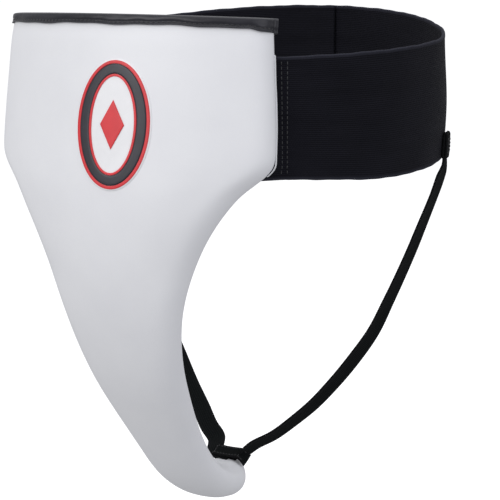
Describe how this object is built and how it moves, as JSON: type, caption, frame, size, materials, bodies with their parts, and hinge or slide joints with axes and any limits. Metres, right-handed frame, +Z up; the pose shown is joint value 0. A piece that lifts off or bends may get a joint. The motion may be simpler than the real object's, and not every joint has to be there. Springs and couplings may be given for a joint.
{
  "type": "groin protector",
  "caption": "Padded front guard panel that tapers to a curled tail, with a wide elastic waist belt, two leg straps and a rear hook-and-loop tab.",
  "frame": {"origin": "centre of the waist opening, at the belt's mid-height", "axes": "+Z up along the wearer, -Y to the front (the padded panel), +X to the right seen from the front"},
  "size_m": [0.2996, 0.2901, 0.3364],
  "materials": {
    "white_pu": "satin, smooth",
    "black_pu": "satin, fine grain",
    "foam": "matte",
    "cup_plastic": "matte",
    "lining": "matte",
    "elastic": "matte, ribbed",
    "webbing": "matte",
    "hook_tape": "matte",
    "loop_tape": "matte, napped",
    "badge_red": "satin",
    "badge_black": "satin",
    "badge_white": "satin"
  },
  "bodies": {
    "guard": {"front_cover": "white_pu", "impact_foam": "foam", "abdomen_pad": "foam", "hard_cup": "cup_plastic", "cup_liner": "foam", "tail_pad": "foam", "back_lining": "lining", "top_binding": "black_pu", "seam_tape_left": "white_pu", "seam_tape_right": "white_pu", "tip_loop": "webbing", "leg_strap_left": "webbing", "leg_strap_right": "webbing", "badge_base": "badge_white", "badge_outline": "badge_red", "badge_ring": "badge_black", "badge_inner_line": "badge_red", "badge_diamond": "badge_red"},
    "belt_left": {"belt_left": "elastic", "strap_end_left": "webbing", "tab_base": "webbing"},
    "belt_right": {"belt_right": "elastic", "strap_end_right": "webbing", "loop_patch": "loop_tape"},
    "closure_tab": {"closure_tab": "elastic", "hook_patch": "hook_tape", "tab_grip": "black_pu"}
  },
  "joints": [
    {"name": "belt_left_swing", "type": "hinge", "parent": "guard", "child": "belt_left", "pos_m": [-0.09838, -0.09381, 0], "axis": [0, 0, 1], "range_deg": [0, 45], "deforming": ["leg_strap_left"]},
    {"name": "belt_right_swing", "type": "hinge", "parent": "guard", "child": "belt_right", "pos_m": [0.09838, -0.09381, 0], "axis": [0, 0, 1], "range_deg": [-45, 0], "deforming": ["leg_strap_right"]},
    {"name": "closure_peel", "type": "hinge", "parent": "belt_left", "child": "closure_tab", "pos_m": [0, 0.13946, 0], "axis": [0, 0, 1], "range_deg": [0, 135]}
  ],
  "couplings": [
    {"joint": "belt_right_swing", "follows": "belt_left_swing", "ratio": -1},
    {"joint": "closure_peel", "follows": "belt_left_swing", "ratio": 3}
  ]
}
